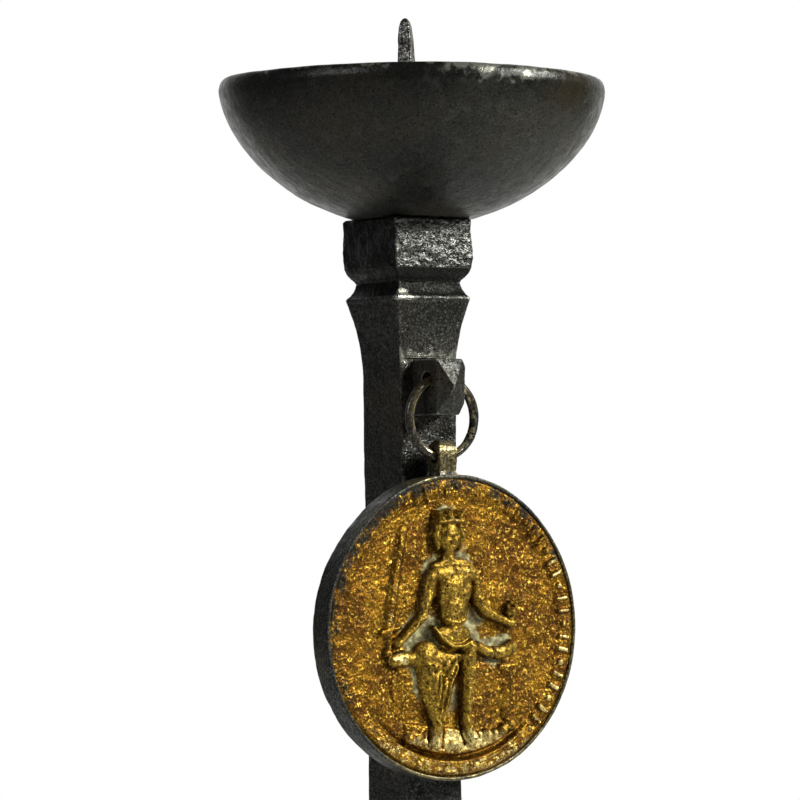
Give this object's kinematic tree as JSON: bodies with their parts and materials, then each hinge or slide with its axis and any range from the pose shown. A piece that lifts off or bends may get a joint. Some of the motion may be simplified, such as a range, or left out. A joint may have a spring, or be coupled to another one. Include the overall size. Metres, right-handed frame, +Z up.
{
  "type": "pricket candlestick",
  "caption": "Cast-iron pricket candlestick: drip bowl and spike on a square moulded stem, with a gilt relief medallion hung on its front from a boss and ring.",
  "frame": {"origin": "centre of the four feet's footprint, on the table", "axes": "+Z up the stem, -Y out of the front face that carries the boss and the medallion, +X to the right"},
  "size_m": [0.15, 0.15, 0.6],
  "materials": {
    "iron": "blackened rough casting, worn to bare metal on its edges",
    "bowl_iron": "blackened satin casting with a faint brown bloom",
    "forged_iron": "forged, hand-rubbed, with brassy wear",
    "steel": "dull blackened steel",
    "gilt": "worn gilt over a rough casting, with pale patina in the hollows"
  },
  "bodies": {
    "stand": {"plinth": "iron", "foot_front_left": "iron", "foot_front_right": "iron", "foot_back_left": "iron", "foot_back_right": "iron", "foot_screws": "steel", "base_collar": "iron", "stem": "iron", "stem_washer": "steel", "stem_nut": "steel", "locating_dowels": "steel", "capital": "iron", "bowl": "bowl_iron", "pricket_collar": "forged_iron", "pricket": "forged_iron", "boss": "iron", "boss_washer": "forged_iron"},
    "ring": {"hanging_ring": "forged_iron"},
    "medallion": {"medallion_tray": "iron", "medallion_face": "gilt", "medallion_rivets": "forged_iron"}
  },
  "joints": [
    {"name": "ring_swing", "type": "hinge", "parent": "stand", "child": "ring", "pos_m": [0, -0.0184, 0.47928], "axis": [-1, 0, 0], "range_deg": [-1, 110]},
    {"name": "medallion_sway", "type": "hinge", "parent": "ring", "child": "medallion", "pos_m": [0, -0.0184, 0.467], "axis": [0, 1, 0], "range_deg": [-30, 30]}
  ]
}
